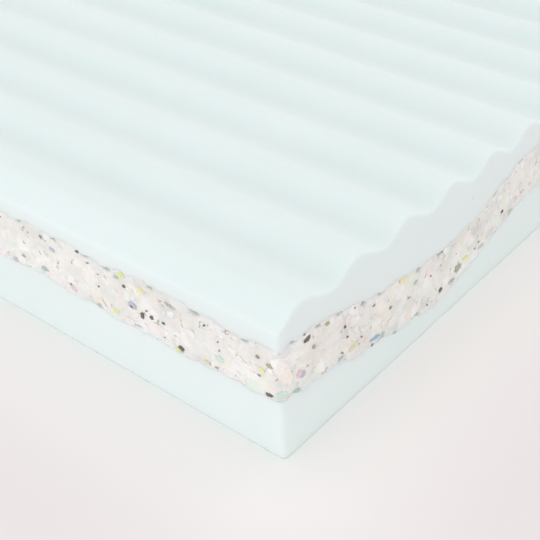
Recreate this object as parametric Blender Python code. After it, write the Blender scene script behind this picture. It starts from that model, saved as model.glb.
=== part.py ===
# Foam mattress of three glued layers, in metres, +Z up.
# The length runs along X with the head end at -X, the width along Y, and the underside lies on Z = 0.
# A pale mint base slab is cut on top in long waves, a layer of bonded foam crumb bends over those
# waves, and a pale mint top slab fills them and carries the crosswise ridges that a sleeper lies on.

import math

import bmesh
import bpy

# Overall size, with the head end's leaning top edge counted in the length.
LENGTH = 2.000
WIDTH = 0.900
CREST_HEIGHT = 0.145

# Crosswise ridges of the top slab. The first crest stands this share of a pitch in from each end,
# and each ridge rises a little faster on its head side than it falls on its foot side.
RIDGE_COUNT = 29
FIRST_CREST = 0.40
RIDGE_DEPTH = 0.0125
RIDGE_SKEW = 0.12
END_DROOP = 0.003
DROOP_REACH = 0.012

# How far the ridges wander from true, as hand-fed foam comes off a profile cutter,
# and the slow ripples in which they do, as turns along and across the whole mattress.
PLACE_DRIFT = 0.0015
PLACE_RIPPLE = {"along": 3.3, "across": 0.9, "start": 0.4}
HEIGHT_DRIFT = 0.0008
HEIGHT_RIPPLE = {"along": 4.7, "across": -1.2, "start": 1.9}

# Long waves in which the base slab is cut and over which the crumb layer bends.
LONG_WAVE_COUNT = 5
LONG_WAVE_SWING = 0.016
BASE_MEAN_HEIGHT = 0.044
CORE_THICKNESS = 0.0535

# The head end leans out as it rises; the lean fades to nothing at the foot end.
HEAD_OVERHANG = 0.0118
HEAD_EDGE_HEIGHT = 0.131

# Fit between layers, and the easing of the upright corners, where the crumb wears back further.
LAYER_GAP = 0.0003
MINT_CORNER = 0.004
CRUMB_CORNER = 0.008
CORNER_STEPS = 3

# How finely the faces follow the waves, and the angle past which an edge is left crisp.
COLUMNS_PER_RIDGE = 8
ROWS_ON_TOP = 5
CRISP_EDGE = math.radians(40)

MINT_FOAM = {"hex": "E4F1EF", "roughness": 0.92}
CRUMB_FOAM = {"hex": "EBE4DE", "roughness": 0.95}

HEAD_X = -LENGTH / 2 + HEAD_OVERHANG
FOOT_X = LENGTH / 2
FOOTPRINT_LENGTH = FOOT_X - HEAD_X
RIDGE_PITCH = FOOTPRINT_LENGTH / (RIDGE_COUNT - 1 + 2 * FIRST_CREST)
COLUMNS = RIDGE_COUNT * COLUMNS_PER_RIDGE


def linear(hex_code):
    """An sRGB hex code as the linear colour that a shader takes."""
    channels = [int(hex_code[i : i + 2], 16) / 255 for i in (0, 2, 4)]
    return [c / 12.92 if c <= 0.04045 else ((c + 0.055) / 1.055) ** 2.4 for c in channels]


def foam_material(name, look):
    """A matt foam, in the colour and roughness of one of the looks named above."""
    material = bpy.data.materials.new(name)
    material.use_nodes = True
    shader = material.node_tree.nodes["Principled BSDF"]
    shader.inputs["Base Color"].default_value = (*linear(look["hex"]), 1)
    shader.inputs["Roughness"].default_value = look["roughness"]
    shader.inputs["Metallic"].default_value = 0.0
    return material


def underside(x, y):
    """The flat face that the mattress rests on."""
    return 0.0


def base_face(x, y):
    """Upper face of the base slab: long waves, thick at both ends of the mattress."""
    turn = 2 * math.pi * LONG_WAVE_COUNT * (x - HEAD_X) / FOOTPRINT_LENGTH
    return BASE_MEAN_HEIGHT + LONG_WAVE_SWING * math.cos(turn)


def core_underside(x, y):
    return base_face(x, y) + LAYER_GAP


def core_face(x, y):
    """Upper face of the crumb layer, which keeps one thickness as it bends."""
    return base_face(x, y) + CORE_THICKNESS


def top_underside(x, y):
    return core_face(x, y) + LAYER_GAP


def wander(x, y, ripple):
    """A slow ripple between -1 and 1 over the whole mattress."""
    turns = ripple["along"] * (x - HEAD_X) / FOOTPRINT_LENGTH + ripple["across"] * y / WIDTH
    return math.sin(2 * math.pi * turns + ripple["start"])


def ridged_face(x, y):
    """Upper face of the top slab: skewed ridges that droop a little at the two cut ends."""
    drift = PLACE_DRIFT * wander(x, y, PLACE_RIPPLE)
    crests_passed = (x - HEAD_X + drift) / RIDGE_PITCH - FIRST_CREST
    turn = 2 * math.pi * crests_passed
    ridge = math.cos(turn + RIDGE_SKEW * math.cos(turn))
    to_end = min(x - HEAD_X, FOOT_X - x)
    droop = END_DROOP * math.exp(-to_end / DROOP_REACH)
    unevenness = HEIGHT_DRIFT * (wander(x, y, HEIGHT_RIPPLE) - 1)
    return CREST_HEIGHT - RIDGE_DEPTH * (1 - ridge) / 2 - droop + unevenness


def leaned(x, z):
    """X of a point once the head end leans out over its foot."""
    share = (FOOT_X - x) / FOOTPRINT_LENGTH
    return x - HEAD_OVERHANG * share * z / HEAD_EDGE_HEIGHT


def upright_corners(mesh):
    """The four vertical edges of a gridded box whose ends meet only two others."""
    return [
        edge
        for edge in mesh.edges
        if edge.verts[0].co.z != edge.verts[1].co.z
        and all(len(vertex.link_edges) == 3 for vertex in edge.verts)
    ]


def foam_slab(name, lower_face, upper_face, rows, corner, material, collection):
    """One layer: a gridded box over the footprint, its corners eased, set to its two faces' heights."""
    mesh = bmesh.new()
    bmesh.ops.create_grid(mesh, x_segments=COLUMNS, y_segments=rows, size=0.5)
    drawn = bmesh.ops.extrude_face_region(mesh, geom=mesh.faces[:])
    raised = [item for item in drawn["geom"] if isinstance(item, bmesh.types.BMVert)]
    bmesh.ops.translate(mesh, verts=raised, vec=(0, 0, CREST_HEIGHT))
    bmesh.ops.scale(mesh, verts=mesh.verts[:], vec=(FOOTPRINT_LENGTH, WIDTH, 1))
    bmesh.ops.translate(mesh, verts=mesh.verts[:], vec=((HEAD_X + FOOT_X) / 2, 0, 0))
    bmesh.ops.bevel(
        mesh,
        geom=upright_corners(mesh),
        affect="EDGES",
        offset=corner,
        segments=CORNER_STEPS,
        profile=0.5,
        material=-1,
    )
    for vertex in mesh.verts:
        face = upper_face if vertex.co.z > CREST_HEIGHT / 2 else lower_face
        vertex.co.z = face(vertex.co.x, vertex.co.y)
        vertex.co.x = leaned(vertex.co.x, vertex.co.z)
    bmesh.ops.recalc_face_normals(mesh, faces=mesh.faces[:])

    data = bpy.data.meshes.new(name)
    mesh.to_mesh(data)
    mesh.free()
    data.shade_smooth()
    data.set_sharp_from_angle(angle=CRISP_EDGE)
    data.materials.append(material)
    slab = bpy.data.objects.new(name, data)
    collection.objects.link(slab)
    return slab


def main():
    for leftover in list(bpy.data.objects):
        bpy.data.objects.remove(leftover)
    mattress = bpy.data.collections.new("mattress")
    bpy.context.scene.collection.children.link(mattress)
    mint = foam_material("mint_foam", MINT_FOAM)
    crumb = foam_material("crumb_foam", CRUMB_FOAM)
    foam_slab("base_slab", underside, base_face, 1, MINT_CORNER, mint, mattress)
    foam_slab("core_slab", core_underside, core_face, 1, CRUMB_CORNER, crumb, mattress)
    foam_slab("top_slab", top_underside, ridged_face, ROWS_ON_TOP, MINT_CORNER, mint, mattress)


main()
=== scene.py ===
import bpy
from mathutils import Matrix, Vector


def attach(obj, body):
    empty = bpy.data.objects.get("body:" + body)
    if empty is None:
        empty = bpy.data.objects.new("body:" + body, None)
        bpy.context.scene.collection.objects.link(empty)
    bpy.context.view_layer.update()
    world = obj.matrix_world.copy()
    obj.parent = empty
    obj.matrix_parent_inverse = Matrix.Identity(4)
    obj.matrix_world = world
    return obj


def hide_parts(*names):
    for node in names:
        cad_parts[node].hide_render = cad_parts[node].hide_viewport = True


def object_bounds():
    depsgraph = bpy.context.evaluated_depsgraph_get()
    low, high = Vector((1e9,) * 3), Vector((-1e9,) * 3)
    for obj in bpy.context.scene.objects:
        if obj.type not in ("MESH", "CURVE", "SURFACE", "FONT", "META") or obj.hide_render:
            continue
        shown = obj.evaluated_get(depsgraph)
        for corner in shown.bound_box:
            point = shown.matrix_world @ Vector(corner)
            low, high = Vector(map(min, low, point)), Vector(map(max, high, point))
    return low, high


bl_info = {
    "name": "Wave-cut foam mattress",
    "version": (1, 0, 0),
    "blender": (4, 5, 0),
    "location": "3D View > Sidebar > Mattress",
    "description": "Dresses a three-layer foam mattress: two mint slabs and a core of bonded crumb",
    "category": "Object",
}

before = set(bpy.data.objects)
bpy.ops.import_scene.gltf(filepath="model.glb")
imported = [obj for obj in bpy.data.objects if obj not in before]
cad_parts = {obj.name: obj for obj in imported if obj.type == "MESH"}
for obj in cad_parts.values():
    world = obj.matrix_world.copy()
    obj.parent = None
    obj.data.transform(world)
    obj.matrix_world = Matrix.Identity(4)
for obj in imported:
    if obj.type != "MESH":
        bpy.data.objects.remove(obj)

import bisect
import math
import random

import bmesh
import bpy
from bpy.props import FloatProperty, FloatVectorProperty, IntProperty, PointerProperty
from bpy.types import Operator, Panel, PropertyGroup
from mathutils import Matrix, Vector, noise
from mathutils.bvhtree import BVHTree
from mathutils.kdtree import KDTree

LOW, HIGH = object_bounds()
SEED = 3438
CRISP_EDGE = math.radians(50)

# The four walls of the mattress: the end that the photograph shows, the long side it shows, and
# the two that it doesn't.
WALLS = ("head", "near", "foot", "far")

# How far along each wall, from its corner, the photograph shows it close by.
SHOWN = {"head": 0.33, "near": 0.43, "foot": 0.0, "far": 0.0}

# How finely the walls are cut in those stretches and elsewhere, and how far in from the walls the
# seams stray and the ends are cut across. The rounded corners keep their own facets.
FINE_GRAIN = 0.0015
PLAIN_GRAIN = 0.0027
END_STRIP = 0.008

# The blocks that the mint slabs are cut from: their heights before their faces are set, the rows of
# their walls, the row just under the upper rim, and the rows across the ridged face.
BASE_BLOCK = 0.044
TOP_BLOCK = 0.040
MINT_ROWS = 5
RIM_ROW = 0.0015
RIDGE_ROW = 0.02

# Height of a row of the core's walls, the facets of a rounded corner and of an eased rim, how steeply
# a face looks up that belongs to a block's top or to the ridges, and how close to a cut a point has to
# lie to count as on it.
CORE_ROW = 0.0017
CORNER_STEPS = 6
RIM_STEPS = 3
LOOKS_UP = 0.9
LOOKS_UP_A_LITTLE = 0.1
CUT_TOLERANCE = 0.00005

# The waviness of a wall cut by a band knife: its swing, its ripples in a metre along and up the wall,
# and how close to a wall a point has to lie to follow it.
KNIFE_SWING = 0.0003
KNIFE_RIPPLES = 9
KNIFE_RIPPLES_UP = 14
KNIFE_REACH = 0.004
KNIFE_REACH_HEAD = 0.003

# Slow ripples of the ridges in place and in height: turns along the length, turns across the width,
# and where they start.
PLACE_RIPPLE = (3.3, 0.9, 0.4)
HEIGHT_RIPPLE = (4.7, -1.2, 1.9)

# Share of the glued seams' finest ups and downs, which lie twice as close as the others.
FINE_FRAY = 0.4

# What a rounded corner turns through on each of its two walls.
HALF_CORNER = math.radians(45)

# The core's two glued seams, by their columns in the table of strays below.
UPPER_SEAM = 1
LOWER_SEAM = 2

# Flecks that can be told apart in the photograph, by the wall they lie in: how far along it from the
# near corner at the head end and how high above the floor, then their length, height and colour. All
# are in millimetres.
SEEN_FLECKS = (
    # The tall chalk chip at the corner is partly a real pale chip and partly a painted highlight where
    # the rounded corner catches light from both walls.
    ("near", -4, 89, 13, 32, "chalk"),
    ("near", -5, 68, 11, 7, "green"),
    ("head", 1, 88, 3, 2, "soot"),
    ("head", 12, 64, 9, 5, "black"),
    ("head", 17, 86, 8, 6, "yellow"),
    ("head", 10, 94, 8, 4, "olive"),
    ("head", 20, 98, 4, 4, "soot"),
    ("head", 20, 79, 3, 2, "soot"),
    ("head", 57, 84, 2, 2, "soot"),
    ("head", 58, 92, 2, 2, "soot"),
    ("head", 70, 102, 2, 2, "black"),
    ("head", 62, 63, 5, 2, "slate"),
    ("head", 58, 74, 12, 8, "green"),
    ("head", 72, 63, 7, 4, "ochre"),
    ("head", 98, 64, 7, 6, "black"),
    ("head", 102, 60, 9, 4, "lime"),
    ("head", 114, 81, 4, 2, "black"),
    ("head", 125, 82, 5, 5, "black"),
    ("head", 132, 84, 3, 2, "soot"),
    ("head", 137, 77, 5, 8, "black"),
    ("head", 148, 82, 11, 9, "lilac"),
    ("head", 148, 81, 5, 3, "black"),
    ("head", 135, 103, 9, 7, "yellow"),
    ("head", 155, 110, 10, 6, "lime"),
    ("head", 160, 105, 5, 4, "teal"),
    ("head", 154, 98, 4, 3, "black"),
    ("head", 168, 66, 10, 7, "lime"),
    ("head", 183, 97, 2, 2, "soot"),
    ("head", 184, 84, 3, 2, "soot"),
    ("head", 186, 68, 9, 6, "cream"),
    ("head", 203, 111, 5, 3, "black"),
    ("head", 218, 65, 9, 6, "rose"),
    ("head", 219, 70, 3, 2, "soot"),
    ("head", 236, 98, 8, 6, "lilac"),
    ("head", 248, 106, 4, 3, "soot"),
    ("head", 252, 71, 8, 6, "teal"),
    ("head", 277, 73, 8, 3, "slate"),
    ("head", 290, 63, 9, 6, "lilac"),
    ("near", 19, 111, 3, 2, "soot"),
    ("near", 23, 104, 9, 7, "brown"),
    ("near", 31, 92, 4, 4, "slate"),
    ("near", 13, 62, 12, 5, "teal"),
    ("near", 14, 77, 9, 8, "rose"),
    ("near", 20, 73, 9, 7, "lilac"),
    ("near", 48, 103, 5, 4, "olive"),
    ("near", 82, 98, 2, 2, "soot"),
    ("near", 72, 85, 3, 3, "black"),
    ("near", 75, 74, 3, 2, "black"),
    ("near", 111, 83, 4, 2, "soot"),
    ("near", 69, 62, 2, 2, "soot"),
    ("near", 86, 57, 16, 7, "ochre"),
    ("near", 96, 61, 2, 2, "soot"),
    ("near", 104, 53, 9, 6, "peach"),
    ("near", 117, 47, 18, 4, "blue"),
    ("near", 113, 42, 4, 3, "soot"),
    ("near", 136, 66, 5, 2, "soot"),
    ("near", 152, 84, 13, 5, "yellow"),
    ("near", 173, 71, 6, 4, "teal"),
    ("near", 198, 33, 3, 2, "soot"),
    ("near", 200, 62, 2, 2, "soot"),
    ("near", 215, 79, 3, 2, "soot"),
    ("near", 221, 36, 7, 5, "black"),
    ("near", 250, 44, 14, 8, "slate"),
    ("near", 262, 48, 11, 5, "lime"),
    ("near", 285, 53, 3, 2, "soot"),
    ("near", 325, 66, 5, 4, "black"),
    ("near", 364, 70, 8, 5, "rose"),
)

# The photograph's softness makes them look wider than they are: their real share of that width.
SEEN_SHARE = 0.88

# Hollows that can be told apart there: the wall, how far along and how high, then length and height.
# All are in millimetres. Most lie where the crumb meets the mint foam.
SEEN_HOLLOWS = (
    ("head", 33, 107, 11, 6),
    ("head", 46, 110, 13, 5),
    ("head", 80, 109, 14, 7),
    ("head", 104, 102, 13, 5),
    ("head", 124, 111, 9, 4),
    ("head", 145, 62, 14, 3),
    ("head", 172, 108, 15, 6),
    ("head", 196, 110, 11, 5),
    ("head", 232, 110, 10, 5),
    ("head", 275, 111, 10, 5),
    ("head", 100, 59, 9, 4),
    ("head", 188, 61, 9, 3),
    ("near", 9, 112, 16, 5),
    ("near", 37, 107, 8, 4),
    ("near", 65, 104, 14, 6),
    ("near", 70, 55, 12, 5),
    ("near", 96, 93, 8, 5),
    ("near", 122, 89, 14, 6),
    ("near", 129, 41, 15, 6),
    ("near", 148, 33, 9, 3),
    ("near", 178, 80, 11, 4),
    ("near", 183, 30, 12, 4),
    ("near", 212, 78, 8, 3),
    ("near", 235, 81, 12, 5),
    ("near", 241, 33, 12, 4),
    ("near", 252, 41, 14, 8),
    ("near", 264, 86, 11, 5),
    ("near", 281, 89, 14, 8),
    ("near", 292, 44, 15, 5),
    ("near", 304, 94, 11, 6),
    ("near", 328, 101, 12, 5),
    ("near", 345, 57, 12, 5),
    ("near", 350, 107, 10, 4),
)

# How far the glued seams stray from their even waves in the photograph: the wall, how far along it
# from the near corner at the head end, then how far the upper and the lower seam lie above their
# waves. All are in millimetres.
SEEN_STRAYS = (
    ("head", 0, -4.0, 3.0),
    ("head", 14, -3.0, 0.0),
    ("head", 32, -4.5, -1.0),
    ("head", 48, -5.5, -1.0),
    ("head", 62, -2.0, 0.0),
    ("head", 80, -2.5, -3.0),
    ("head", 100, -0.5, -4.0),
    ("head", 118, 0.0, -1.0),
    ("head", 136, 1.5, -1.0),
    ("head", 160, -2.0, -2.5),
    ("head", 174, -4.5, -2.0),
    ("head", 196, -2.5, 1.5),
    ("head", 214, 1.0, -2.0),
    ("head", 236, -1.0, 0.5),
    ("head", 260, -0.5, 3.5),
    ("head", 282, -2.5, 0.5),
    ("near", 0, -4.0, 3.0),
    ("near", 14, -0.5, 3.0),
    ("near", 28, -1.0, -1.5),
    ("near", 48, 1.0, -0.5),
    ("near", 70, 0.0, 3.0),
    ("near", 92, 1.0, -3.0),
    ("near", 112, -2.0, 1.0),
    ("near", 132, 0.0, 3.5),
    ("near", 150, 3.0, 0.5),
    ("near", 184, 1.5, 1.0),
    ("near", 206, 0.0, -4.5),
    ("near", 232, -4.0, -6.0),
    ("near", 258, -5.0, -4.0),
    ("near", 284, -7.5, -6.0),
    ("near", 304, -6.5, -4.0),
    ("near", 318, -3.0, -3.0),
    ("near", 336, -5.5, -3.5),
    ("near", 354, -1.0, -1.5),
)

# Hollows laid at random: their lengths and heights, how far from the glued seams they lie, how far
# they keep from the corners, and how far back into a shown stretch they start.
HOLLOW_LENGTHS = (0.006, 0.015)
HOLLOW_HEIGHTS = (0.003, 0.006)
HOLLOW_INSET = 0.003
HOLLOW_CORNER_GAP = 0.006
HOLLOW_OVERLAP = 0.02

# Chips of foam: how many shapes, how many corners each has, how far these leave an even spacing, how
# far out they lie, and the heights of its rings with their share of its width, from the sawn face
# down to its root.
CHIP_SHAPES = 16
CHIP_CORNERS = 7
CORNER_DRIFT = 0.35
CORNER_REACH = (0.42, 0.56)
CHIP_RINGS = ((0.2, 0.92), (0.1, 1.0), (-0.2, 0.8))

# How chips lie: how far they turn from level, and how far they keep from the corners and the seams.
CHIP_TURN = 0.35
CHIP_CORNER_GAP = 0.004
CHIP_SEAM_GAP = 0.002

# How a chip is seated: the share of its size under which the sawn crumb is felt for its crest, the
# half width from which that takes more steps, how many, where the feeling rays start and how long
# they are, and the deepest seat.
SEAT_SHARE = 0.35
WIDE_SEAT = 0.005
SEAT_STEPS = 4
RAY_START = 0.01
RAY_LENGTH = 0.02
DEEPEST_SEAT = -0.003

# Flecks from the table: how deep they go, how far they stand proud, and how far the small ones do,
# up to a length in millimetres.
SEEN_DEPTH = 0.005
SEEN_PROUD = 0.0003
SMALL_PROUD = 0.0008
SMALL_UP_TO = 7

# Flecks and specks laid at random: their lengths, widths and depths, how many times as long as wide a
# speck is, and how far both stand proud.
FLECK_LENGTHS = (0.005, 0.013)
FLECK_WIDTHS = (0.004, 0.007)
FLECK_DEPTH = 0.005
SPECK_WIDTHS = (0.0012, 0.0034)
SPECK_STRETCH = (1.0, 1.9)
SPECK_DEPTH = 0.004
SPECK_COLOURS = ("black", "soot", "soot", "brown", "slate")
RANDOM_PROUD = 0.0002

# In the shown stretches: the share of the specks that is laid, and what is left of their length and
# width.
SHOWN_SPECKS = 0.2
SHOWN_SPECK_LENGTH = 0.7
SHOWN_SPECK_WIDTH = 0.6

# Pale chips: their widths, how many times as long they are, their depth, how far they stand proud,
# and their tints.
PALE_WIDTHS = (0.003, 0.008)
PALE_STRETCH = (1.0, 1.6)
PALE_DEPTH = 0.006
PALE_PROUD = (-0.0002, 0.0005)
PALE_TINTS = ("F4F2EF", "F0E9E6", "F1EFE5", "E7EAE4", "F2EFEC")

# Colours of the offcuts that the crumb is made from, dimmed a little by the binder.
OFFCUT_COLOURS = {
    "black": "7A7470",
    "soot": "A29B96",
    "brown": "7F746D",
    "olive": "B9B79C",
    "slate": "AEB5AB",
    "teal": "B4CFC3",
    "green": "D2E6DA",
    "blue": "A4BBD2",
    "lilac": "C6C4D2",
    "rose": "E9D1D5",
    "peach": "F1DFD4",
    "ochre": "E4D9BC",
    "yellow": "EFE9B4",
    "lime": "E4E6A6",
    "cream": "F0EDD8",
    "ivory": "F6F1EC",
    "chalk": "F9F2EB",
}

# Tints of the pressed crumbs, by where each one's share starts, and of the glue-blurred foam between.
MOSAIC_TINTS = (
    (0.00, "F0EFEA"),
    (0.26, "F3F2ED"),
    (0.42, "F0EAE5"),
    (0.54, "EBEBE5"),
    (0.67, "F0EFE1"),
    (0.76, "F0EBE1"),
    (0.83, "E4ECE3"),
    (0.89, "EAE7E8"),
    (0.94, "E0E1DB"),
)
GLUED_TINT = "EEEBE7"

# Height of the finest bumps that the foams' materials draw.
BUMP_HEIGHT = 0.0003

# The stage: the floor's reach, the tints of its lights, where the back light's lamp hangs, and the
# bounce card's size and place beside and above the corner, with the height that it faces.
FLOOR_REACH = 30.0
SKY_TINT = "FDFEFF"
BACK_TINT = "FFE8E8"
CARD_TINT = "F4F8FF"
BACK_DISTANCE = 3
CARD_WIDTH = 1.6
CARD_HEIGHT = 0.5
CARD_ASIDE = 0.3
CARD_ABOVE = 0.25
CARD_FACES = 0.06

# The photographer's camera: where it stands from the mattress's bottom corner, how it is turned, its
# lens, the sensor behind it, and how near and how far it sees.
CAMERA_FROM_CORNER = Vector((-0.4561, -0.3392, 0.5766))
CAMERA_YAW = math.radians(37.975)
CAMERA_PITCH = math.radians(35.095)
CAMERA_ROLL = math.radians(-0.682)
CAMERA_LENS = 69.76
SENSOR_WIDTH = 36.0
CAMERA_NEAREST = 0.01
CAMERA_FURTHEST = 200.0


def linear(hex_code):
    """An sRGB hex code as linear red, green and blue."""
    channels = [int(hex_code[i : i + 2], 16) / 255 for i in (0, 2, 4)]
    return [c / 12.92 if c <= 0.04045 else ((c + 0.055) / 1.055) ** 2.4 for c in channels]


def opaque(colour):
    """A colour with full alpha, as shader sockets take it."""
    return (*colour[:3], 1.0)


class MattressShape(PropertyGroup):
    """Sizes of the three slabs, in metres."""

    ridge_count: IntProperty(
        name="Ridges", description="Crosswise ridges cut in the top slab", default=29, min=2
    )
    first_crest: FloatProperty(
        name="First crest",
        description="How far in from each end the outer crests stand, as a share of a ridge",
        default=0.40,
        subtype="FACTOR",
    )
    ridge_depth: FloatProperty(
        name="Ridge depth",
        description="Height from the hollows to the crests",
        default=0.0125,
        unit="LENGTH",
    )
    ridge_skew: FloatProperty(
        name="Ridge skew",
        description="How much steeper each ridge is on its head side",
        default=0.12,
        subtype="FACTOR",
    )
    end_droop: FloatProperty(
        name="End droop",
        description="How far the top sinks at the two cut ends",
        default=0.003,
        unit="LENGTH",
    )
    droop_reach: FloatProperty(
        name="Droop reach",
        description="How far in from the ends the droop fades",
        default=0.012,
        unit="LENGTH",
    )
    place_drift: FloatProperty(
        name="Ridge wander",
        description="How far ridges stray along the mattress",
        default=0.0015,
        unit="LENGTH",
    )
    height_drift: FloatProperty(
        name="Height wander",
        description="How far ridges stray in height",
        default=0.0008,
        unit="LENGTH",
    )
    long_waves: IntProperty(
        name="Long waves", description="Waves over which the core bends", default=5, min=1
    )
    long_wave_swing: FloatProperty(
        name="Long wave swing",
        description="Rise of the long waves above their mean",
        default=0.016,
        unit="LENGTH",
    )
    base_height: FloatProperty(
        name="Base height", description="Mean height of the base slab", default=0.044, unit="LENGTH"
    )
    core_thickness: FloatProperty(
        name="Core thickness",
        description="Height of the crumb layer",
        default=0.0535,
        unit="LENGTH",
    )
    seam_bite: FloatProperty(
        name="Seam bite",
        description="How far crumbs at the glued seams sit in the mint foam",
        default=0.0007,
        unit="LENGTH",
    )
    fray: FloatProperty(
        name="Fray",
        description="How far single crumbs push the glued seams up and down at the walls",
        default=0.0030,
        unit="LENGTH",
    )
    fray_grain: FloatProperty(
        name="Fray grain",
        description="Spacing of the seams' ups and downs",
        default=0.011,
        unit="LENGTH",
    )
    stray: FloatProperty(
        name="Stray",
        description="How far the glued seams leave their waves, where the photograph doesn't show them",
        default=0.006,
        unit="LENGTH",
    )
    stray_grain: FloatProperty(
        name="Stray grain",
        description="Spacing of the seams' slow ups and downs, and of the handover to them",
        default=0.045,
        unit="LENGTH",
    )
    swell: FloatProperty(
        name="Swell",
        description="How far the lying face strays from true",
        default=0.0006,
        unit="LENGTH",
    )
    swell_grain: FloatProperty(
        name="Swell grain",
        description="Spacing of the lying face's ups and downs",
        default=0.09,
        unit="LENGTH",
    )
    head_overhang: FloatProperty(
        name="Head overhang",
        description="How far the head end's top edge stands out past its foot",
        default=0.0118,
        unit="LENGTH",
    )
    head_edge_height: FloatProperty(
        name="Head edge height",
        description="Height of the head end's top edge",
        default=0.131,
        unit="LENGTH",
    )
    mint_corner: FloatProperty(
        name="Mint corner",
        description="Rounding of the mint slabs' upright corners",
        default=0.0045,
        unit="LENGTH",
    )
    mint_rim: FloatProperty(
        name="Mint rim",
        description="Rounding of the top slab's upper edges",
        default=0.0022,
        unit="LENGTH",
    )
    core_corner: FloatProperty(
        name="Core corner",
        description="Rounding of the crumb layer's upright corners",
        default=0.008,
        unit="LENGTH",
    )


class CrumbMix(PropertyGroup):
    """What the crumb layer is pressed from."""

    big_crumb: FloatProperty(
        name="Big crumb", description="Usual width of a crumb", default=0.0115, unit="LENGTH"
    )
    small_crumb: FloatProperty(
        name="Small crumb",
        description="Width of the crumbs that fill in between",
        default=0.0058,
        unit="LENGTH",
    )
    proud: FloatProperty(
        name="Proud",
        description="How far a springy crumb stands out of the cut face",
        default=0.0007,
        unit="LENGTH",
    )
    hollow: FloatProperty(
        name="Hollow",
        description="Depth of the hollows, most of which lie along the mint slabs",
        default=0.0028,
        unit="LENGTH",
    )
    press: FloatProperty(
        name="Press",
        description="How far the cut face as a whole swells and sinks",
        default=0.0006,
        unit="LENGTH",
    )
    flecks_per_metre: IntProperty(
        name="Flecks", description="Coloured crumbs in a metre of wall", default=40
    )
    specks_per_metre: IntProperty(
        name="Specks", description="Small dark crumbs in a metre of wall", default=70
    )
    loose_per_metre: IntProperty(
        name="Proud crumbs", description="Pale crumbs that stand proud, in a metre", default=90
    )
    hollows_per_metre: IntProperty(
        name="Hollows", description="Hollows in a metre of wall", default=62
    )


class FoamColours(PropertyGroup):
    """Colours of the foams and the floor."""

    mint: FloatVectorProperty(
        name="Mint", description="Pale mint foam", subtype="COLOR", default=linear("E9F1F0")
    )
    mint_deep: FloatVectorProperty(
        name="Deep mint", description="Its darker clouds", subtype="COLOR", default=linear("E2EEEB")
    )
    # Painted shade: the grey-green of shaded hollows along the seams and of the pinholes.
    painted_hollow_shade: FloatVectorProperty(
        name="Seam grey",
        description="Hollows seen through thin foam along the seams",
        subtype="COLOR",
        default=linear("B2BCB0"),
    )
    # Painted shade: the dark of the open cracks between crumbs.
    painted_crack_shade: FloatVectorProperty(
        name="Crack", description="Cracks between crumbs", subtype="COLOR", default=linear("B4ABA4")
    )
    # The floor and the floor further off paint a pool of light: paler round the mattress, darker and
    # pinker away.
    floor: FloatVectorProperty(
        name="Floor",
        description="Pale studio floor round the mattress",
        subtype="COLOR",
        default=linear("F7F3F1"),
    )
    floor_painted_dim: FloatVectorProperty(
        name="Floor away",
        description="The floor further off, a little darker and pinker",
        subtype="COLOR",
        default=linear("EEE6E6"),
    )
    # Painted light: a mint glow on the floor at the foot of the foam, for light passed through it.
    painted_mint_glow: FloatVectorProperty(
        name="Glow",
        description="The floor's tint at the foot of the foam",
        subtype="COLOR",
        default=linear("F3F4F1"),
    )


class StudioLight(PropertyGroup):
    """Strengths and places of the soft studio light."""

    sky: FloatProperty(name="Sky", description="Strength of the light all round", default=0.98)
    back: FloatProperty(
        name="Back light", description="Strength of the broad light from the foot end", default=0.21
    )
    back_height: FloatProperty(
        name="Back light height",
        description="Angle of the back light above the floor",
        default=math.radians(25),
        subtype="ANGLE",
    )
    back_softness: FloatProperty(
        name="Back light softness",
        description="How wide the back light looks from the mattress",
        default=math.radians(60),
        subtype="ANGLE",
    )
    card: FloatProperty(
        name="Card", description="Power of the bounce card before the head end", default=2.75
    )
    card_distance: FloatProperty(
        name="Card distance",
        description="How far the bounce card stands before the head end",
        default=1.2,
        unit="LENGTH",
    )


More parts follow.
